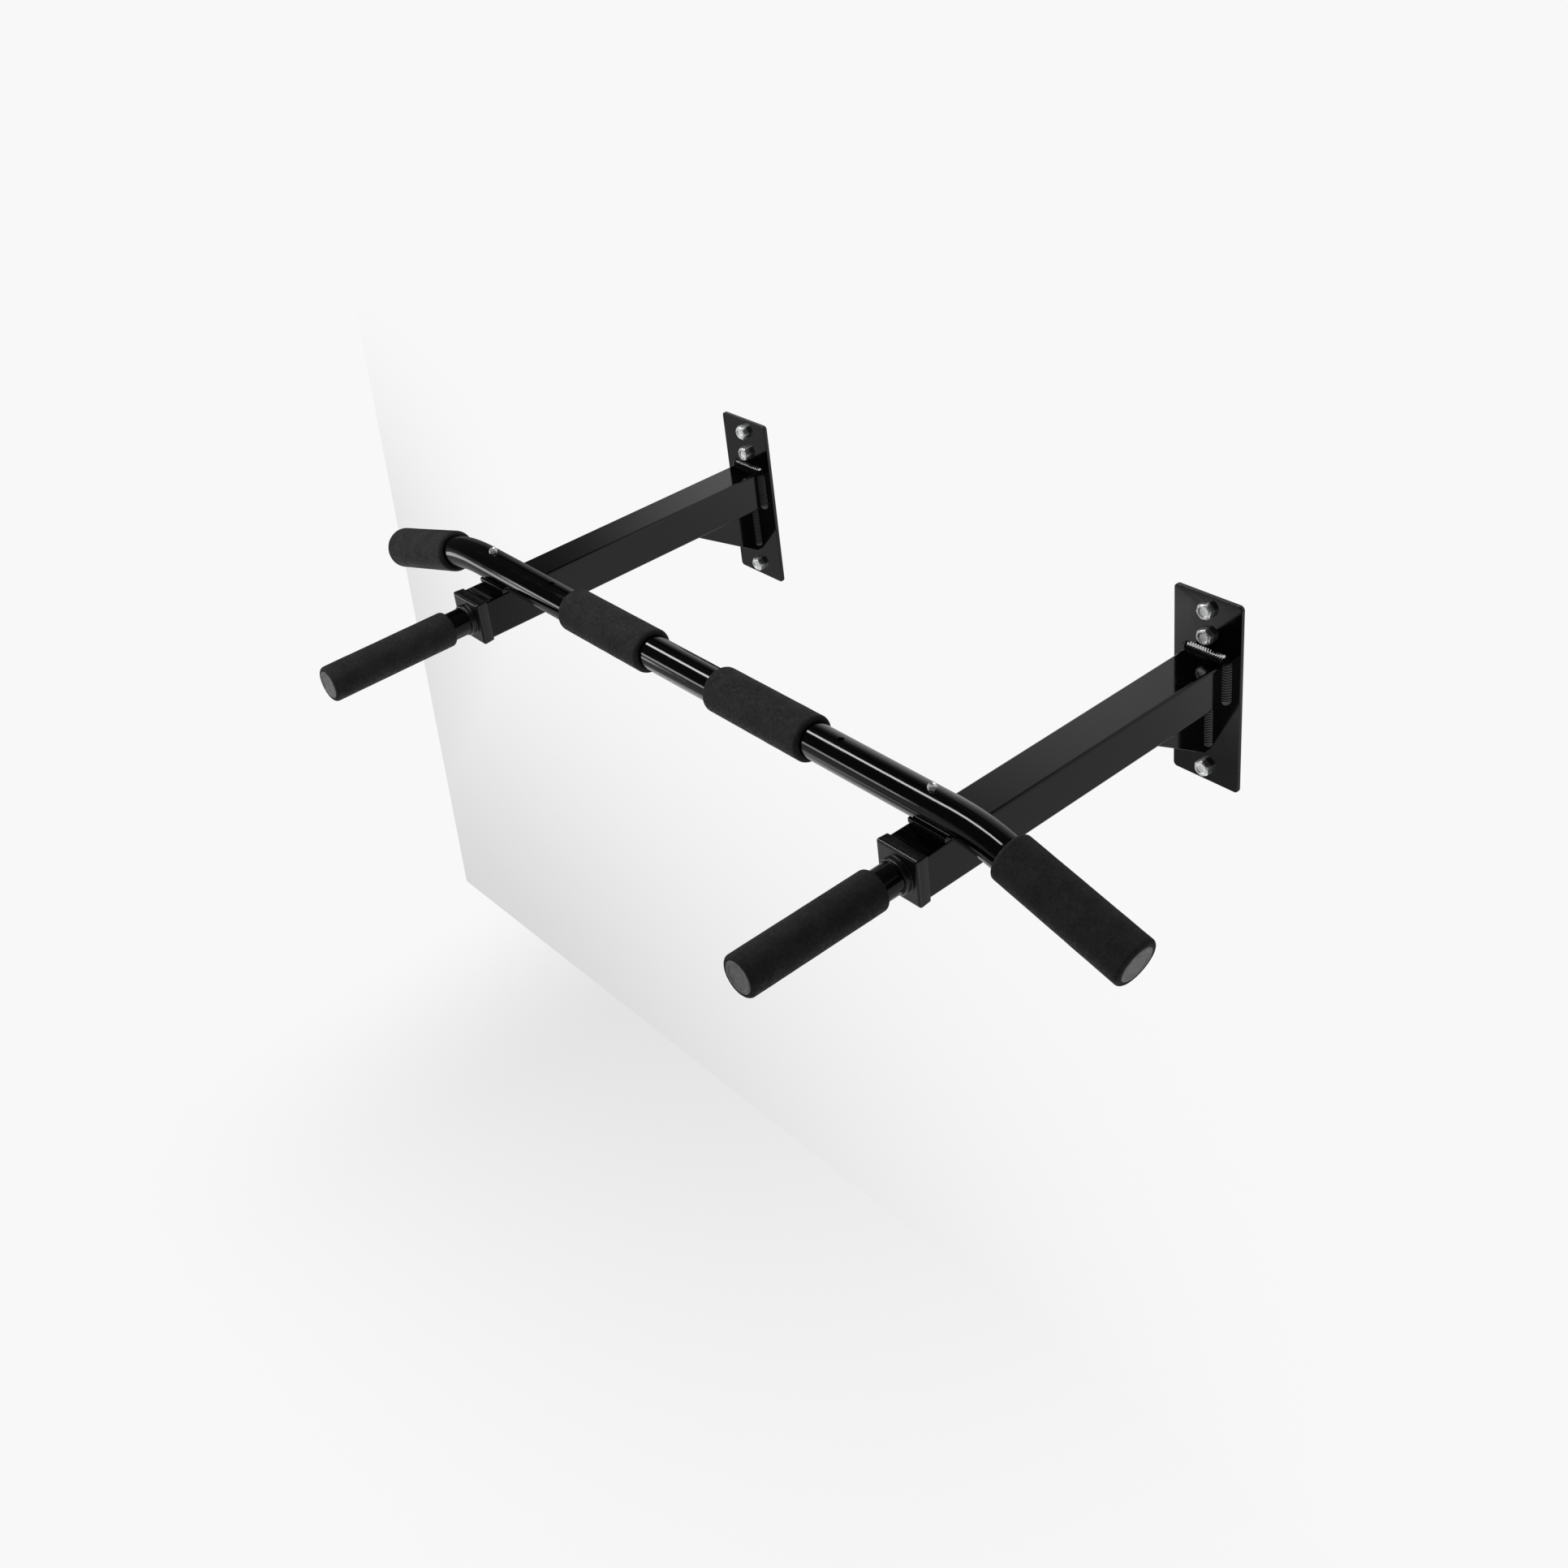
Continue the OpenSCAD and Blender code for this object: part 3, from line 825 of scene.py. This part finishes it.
def backdrop_material(name, seen, reflected):
    """Backdrop finish: seen(look) colours it for the camera, reflected(look) is its glow on the object.
    It is clear from behind, so that it hides nothing in a view from its other side."""
    material = bpy.data.materials.new(name)
    material.use_nodes = True
    look = Shading(material.node_tree)
    look.tree.nodes.clear()
    path, geometry = look.add("ShaderNodeLightPath"), look.add("ShaderNodeNewGeometry")
    camera_glow, other_glow = look.add("ShaderNodeEmission"), look.add("ShaderNodeEmission")
    look.link(seen(look), camera_glow.inputs["Color"])
    look.link(reflected(look), other_glow.inputs["Strength"])
    by_ray, by_side = look.add("ShaderNodeMixShader"), look.add("ShaderNodeMixShader")
    look.link(path.outputs["Is Camera Ray"], by_ray.inputs["Fac"])
    look.link(other_glow.outputs[0], by_ray.inputs[1])
    look.link(camera_glow.outputs[0], by_ray.inputs[2])
    look.link(geometry.outputs["Backfacing"], by_side.inputs["Fac"])
    look.link(by_ray.outputs[0], by_side.inputs[1])
    look.link(look.add("ShaderNodeBsdfTransparent").outputs[0], by_side.inputs[2])
    look.link(by_side.outputs[0], look.add("ShaderNodeOutputMaterial").inputs["Surface"])
    return material


def panel(name, corners, material):
    """A flat stage piece through four corners, which faces the side from which they run anticlockwise."""
    mesh = bpy.data.meshes.new(name)
    mesh.from_pydata(corners, [], [(0, 1, 2, 3)])
    mesh.materials.append(material)
    piece = bpy.data.objects.new(name, mesh)
    bpy.context.scene.collection.objects.link(piece)
    return piece


def wall_seen(look):
    """Pale, with a soft shade that gathers in the corner by the floor and climbs the wall's left edge."""
    low = look.spread(look.place("Z"), 1, 0, FLOOR_Z - 0.2, FLOOR_Z + 0.9)
    left = look.spread(look.place("X"), 1, 0, WALL_LEFT, WALL_LEFT + 1.9)
    height = look.spread(look.place("Z"), 0.75, 0, FLOOR_Z + 0.6, FLOOR_Z + 1.15)
    edge = look.spread(look.place("X"), 1, 0, WALL_LEFT - 0.1, WALL_LEFT + 0.5)
    corner = look.maths("MULTIPLY", low, left)
    climb = look.maths("MULTIPLY", height, edge)
    shade = look.maths("MAXIMUM", corner, climb)
    return look.colour(shade, PALE, SHADED)


def wall_reflected(look):
    """A soft pool of light behind the brackets."""
    below = look.spread(look.place("Z"), 0.61, 0.82, -0.1, 0.08)
    above = look.spread(look.place("Z"), 1, 0.08, 0.06, 0.55)
    left = look.spread(look.place("X"), 0.2, 1, -0.8, -0.25)
    right = look.spread(look.place("X"), 1, 0.64, 0.15, 0.42)
    upright = look.maths("MULTIPLY", below, above)
    level = look.maths("MULTIPLY", left, right)
    return look.maths("MULTIPLY", upright, level)


def floor_seen(look):
    """Pale, a little shaded towards the same corner."""
    near = look.spread(look.place("Y"), 0, 0.75, -0.85, 0.1)
    edge = look.spread(look.place("X"), 0, 1, WALL_LEFT + 0.05, WALL_LEFT + 0.5)
    left = look.spread(look.place("X"), 1, 0, WALL_LEFT, WALL_LEFT + 2.0)
    shade = look.maths("MULTIPLY", look.maths("MULTIPLY", near, edge), left)
    return look.colour(shade, PALE, SHADED)


def floor_reflected(look):
    """Bright under the object, on its left and in a soft band in front of it."""
    front = look.spread(look.place("Y"), 0.77, 0.27, -1.38, -1.16)
    under = look.spread(look.place("Y"), 0, 0.95, -1.04, -0.75)
    left = look.spread(look.place("X"), 1.15, 0, -0.92, -0.78)
    before = look.spread(look.place("Y"), 0.12, 1, -1.75, -1.48)
    bright = look.maths("MAXIMUM", look.maths("MAXIMUM", front, under), left)
    return look.maths("MULTIPLY", bright, before)


def lamp(name, centre, length, width, radiance):
    """A softbox that faces the bar, its length as near along X as it can be.
    A larger one gives more light at the same radiance."""
    data = bpy.data.lights.new(name, "AREA")
    data.shape = "RECTANGLE"
    data.size, data.size_y = length, width
    data.energy = LAMP_POWER * radiance * length * width
    light = bpy.data.objects.new(name, data)
    centre = Vector(centre)
    forward = (LAMP_TARGET - centre).normalized()
    rise = forward.cross(Vector((1, 0, 0))).normalized()
    across = rise.cross(-forward)
    turn = Matrix((across, rise, -forward)).transposed()
    light.matrix_world = Matrix.Translation(centre) @ turn.to_4x4()
    light.visible_camera = False
    bpy.context.scene.collection.objects.link(light)
    return light


def make_stage():
    """The wall, the floor and four softboxes."""
    wall = backdrop_material("pale_wall", wall_seen, wall_reflected)
    top_left = WALL_LEFT + WALL_LEAN * (FAR - FLOOR_Z)
    panel("wall", [
        (WALL_LEFT, WALL_Y, FLOOR_Z), (FAR, WALL_Y, FLOOR_Z),
        (FAR, WALL_Y, FAR), (top_left, WALL_Y, FAR),
    ], wall)
    floor = backdrop_material("pale_floor", floor_seen, floor_reflected)
    panel("floor", [
        (WALL_LEFT, -FAR, FLOOR_Z), (FAR, -FAR, FLOOR_Z),
        (FAR, WALL_Y, FLOOR_Z), (WALL_LEFT, WALL_Y, FLOOR_Z),
    ], floor)
    lamp("overhead_lamp", (-0.55, -0.69, 1.31), 1.5, 0.22, 10.0)
    lamp("front_lamp", (-1.1, -1.5, 0.09), 0.8, 0.2, 3.5)
    lamp("left_lamp", (-1.9, -1.5, -0.42), 0.8, 0.4, 2.6)
    fill = lamp("floor_lamp", (-0.3, -0.32, FLOOR_Z + 0.02), 2.0, 0.6, 3.6)
    # The paint already reflects the floor's own glow
    fill.visible_glossy = False


def make_world():
    """Pale to the camera; for the object, a room that is pale below and dark above."""
    world = bpy.data.worlds.new("studio")
    world.use_nodes = True
    look = Shading(world.node_tree)
    background = look.tree.nodes["Background"]
    split = look.add("ShaderNodeSeparateXYZ")
    look.link(look.add("ShaderNodeTexCoord").outputs["Generated"], split.inputs[0])
    above = look.spread(split.outputs["Z"], 0, 1, -0.1, 0.2)
    room = look.colour(above, ROOM_BELOW, ROOM_ABOVE)
    mix = look.add("ShaderNodeMix", data_type="RGBA")
    look.link(look.add("ShaderNodeLightPath").outputs["Is Camera Ray"], mix.inputs["Factor"])
    look.link(room, mix.inputs["A"])
    mix.inputs["B"].default_value = (*PALE, 1)
    look.link(mix.outputs["Result"], background.inputs["Color"])
    bpy.context.scene.world = world


make_camera()
steelwork()
all_foam()
all_plugs()
for side_name in SIDES:
    end_cap(side_name)
    arm_weld(side_name)
    gusset_weld(side_name)
lag_hardware()
bar_hardware()
make_stage()
make_world()
bpy.context.scene.view_settings.view_transform = "Standard"
